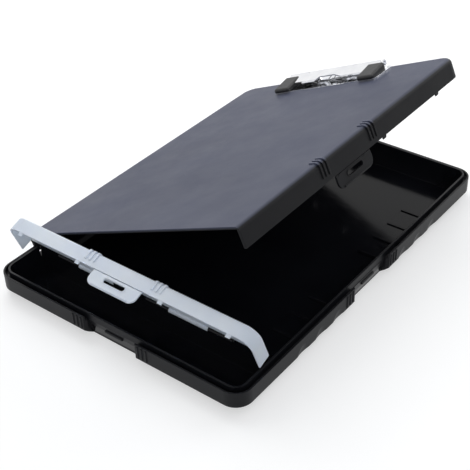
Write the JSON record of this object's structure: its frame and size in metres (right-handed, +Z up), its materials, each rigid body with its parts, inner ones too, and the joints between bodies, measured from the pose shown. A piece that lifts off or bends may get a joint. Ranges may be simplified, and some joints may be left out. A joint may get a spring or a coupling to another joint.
{
  "type": "storage clipboard",
  "caption": "Storage clipboard: a shallow black case, a hinged writing lid with a spring clip, and a pen bay under a frosted lid.",
  "frame": {"origin": "centre of the case's base", "axes": "+Z up; +X towards the side where the main lid latches; +Y from the pen bay towards the clip end"},
  "size_m": [0.2444, 0.3408, 0.1262],
  "materials": {
    "black_plastic": "satin outside, glossy inside",
    "slate_plastic": "fine matt grain",
    "frosted_plastic": "frosted, translucent",
    "chrome": "mirror",
    "pin_steel": "bright drawn",
    "spring_steel": "drawn wire",
    "black_rubber": "matt"
  },
  "bodies": {
    "tray": {"tray": "black_plastic", "main_hinge_pins": "pin_steel", "pen_hinge_pins": "pin_steel"},
    "main_lid": {"main_lid": "slate_plastic", "clip_base_plate": "chrome", "clip_rivets": "chrome", "clip_hinge_pin": "pin_steel", "clip_spring": "spring_steel"},
    "main_latch": {"main_lid_latch": "slate_plastic"},
    "pen_lid": {"pen_lid": "frosted_plastic"},
    "pen_latch": {"pen_lid_latch": "frosted_plastic"},
    "clip_jaw": {"clip_jaw": "chrome", "clip_grip_left": "black_rubber", "clip_grip_right": "black_rubber"}
  },
  "joints": [
    {"name": "main_lid_hinge", "type": "hinge", "parent": "tray", "child": "main_lid", "pos_m": [-0.116, 0, 0.016], "axis": [0, -1, 0], "range_deg": [-24, 85]},
    {"name": "pen_lid_hinge", "type": "hinge", "parent": "tray", "child": "pen_lid", "pos_m": [0, -0.1318, 0.027], "axis": [-1, 0, 0], "range_deg": [-70, 20]},
    {"name": "main_latch_hinge", "type": "hinge", "parent": "main_lid", "child": "main_latch", "pos_m": [0.0976, 0, 0.11033], "axis": [0, -1, 0], "range_deg": [-12, 95], "stiffness_Nm_per_rad": 0.02},
    {"name": "pen_latch_hinge", "type": "hinge", "parent": "pen_lid", "child": "pen_latch", "pos_m": [0, -0.15473, 0.05579], "axis": [-1, 0, 0], "range_deg": [-12, 95], "stiffness_Nm_per_rad": 0.02},
    {"name": "clip_jaw_hinge", "type": "hinge", "parent": "main_lid", "child": "clip_jaw", "pos_m": [-0.01906, 0.161, 0.08346], "axis": [-0.9135, 0, -0.4067], "range_deg": [0, 35], "stiffness_Nm_per_rad": 0.3, "springref_deg": -57.3}
  ]
}
